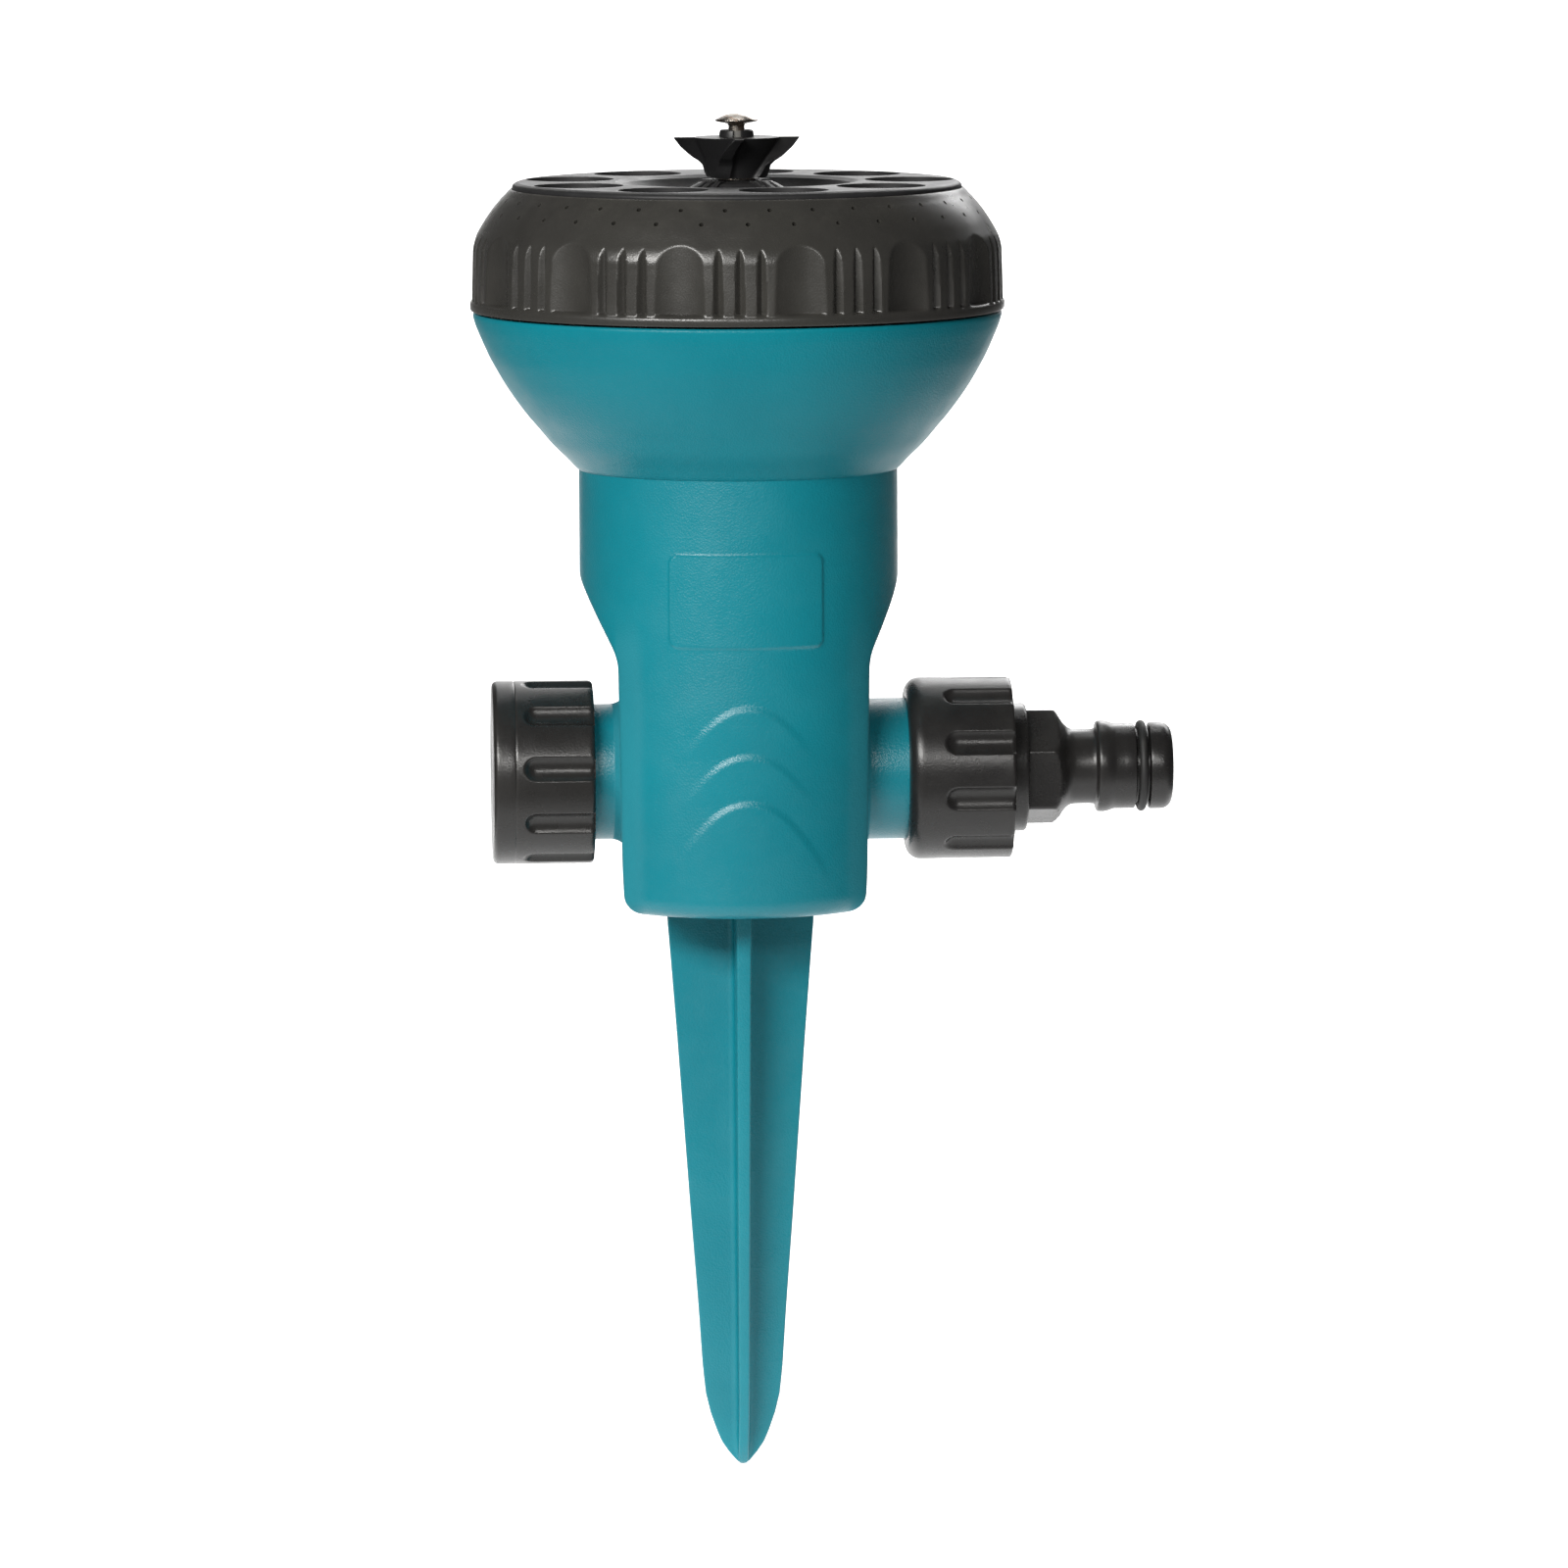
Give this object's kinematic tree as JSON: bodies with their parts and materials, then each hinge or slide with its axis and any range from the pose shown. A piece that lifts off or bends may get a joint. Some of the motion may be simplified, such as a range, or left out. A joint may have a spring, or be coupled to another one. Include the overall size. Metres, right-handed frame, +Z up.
{
  "type": "dial pattern sprinkler on ground spike",
  "caption": "Garden sprinkler: turning pattern dial with grip collar and whirling spinner on a flared housing with capped outlet, hose inlet and cross-section ground spike.",
  "frame": {"origin": "on the vertical axis, in the plane of the housing's underside, where the ground spike leaves it", "axes": "+Z up along the axis of the head and spike, +X along the hose inlet, -Y the front with the raised pad"},
  "size_m": [0.1307, 0.0994, 0.2549],
  "materials": {
    "teal_plastic": "satin moulded ABS, teal",
    "black_plastic": "satin moulded ABS, warm black",
    "dial_plastic": "satin moulded ABS, charcoal",
    "spinner_plastic": "moulded acetal, black",
    "white_plastic": "natural moulded acetal",
    "rubber": "matt nitrile rubber",
    "steel": "zinc-plated or stainless steel",
    "stainless": "turned stainless steel"
  },
  "bodies": {
    "housing": {"housing": "teal_plastic", "base_plate": "black_plastic", "base_plate_screws": "steel", "ground_spike": "teal_plastic", "port_plate": "white_plastic", "port_plate_screws": "steel", "port_plate_o_ring": "rubber", "journal_o_ring": "rubber", "head_retainer": "steel", "detent_spring": "steel", "detent_screw": "steel", "port_seal_spring": "steel", "inlet_washer": "rubber", "inlet_screen": "steel"},
    "turning_head": {"channel_plate": "white_plastic", "selector_collar": "black_plastic", "pattern_dial": "dial_plastic", "dial_gasket": "rubber", "head_screws": "steel", "spinner_axle": "stainless", "axle_washer": "stainless"},
    "spinner": {"spinner": "spinner_plastic", "spinner_bush": "white_plastic"},
    "port_seal": {"port_seal": "rubber"},
    "inlet_nut": {"inlet_nut": "black_plastic"},
    "hose_adapter": {"hose_adapter": "black_plastic", "adapter_o_ring": "rubber"},
    "cap_washer": {"cap_washer": "rubber"},
    "outlet_cap": {"outlet_cap": "black_plastic"}
  },
  "joints": [
    {"name": "dial_turn", "type": "hinge", "parent": "housing", "child": "turning_head", "pos_m": [0, 0, 0.113], "axis": [0, 0, 1], "continuous": true, "deforming": ["detent_spring"]},
    {"name": "spinner_spin", "type": "hinge", "parent": "turning_head", "child": "spinner", "pos_m": [0, 0, 0.1354], "axis": [0, 0, 1], "continuous": true},
    {"name": "seal_float", "type": "slide", "parent": "housing", "child": "port_seal", "axis": [0, 0, -1], "range_m": [0, 0.0004], "stiffness_N_per_m": 400, "springref_m": -0.0004, "deforming": ["port_seal_spring"]},
    {"name": "nut_turn", "type": "hinge", "parent": "housing", "child": "inlet_nut", "pos_m": [0.04, 0, 0.0245], "axis": [-1, 0, 0], "range_deg": [0, 1800]},
    {"name": "adapter_travel", "type": "slide", "parent": "housing", "child": "hose_adapter", "axis": [1, 0, 0], "range_m": [0, 0.0091]},
    {"name": "cap_travel", "type": "slide", "parent": "housing", "child": "cap_washer", "axis": [-1, 0, 0], "range_m": [0, 0.009]},
    {"name": "cap_turn", "type": "hinge", "parent": "cap_washer", "child": "outlet_cap", "pos_m": [-0.04, 0, 0.0245], "axis": [-1, 0, 0], "range_deg": [0, 1800]}
  ],
  "couplings": [
    {"joint": "adapter_travel", "follows": "nut_turn", "m_per_rad": 0.00028871},
    {"joint": "cap_turn", "follows": "cap_travel", "rad_per_m": 3463.7}
  ]
}
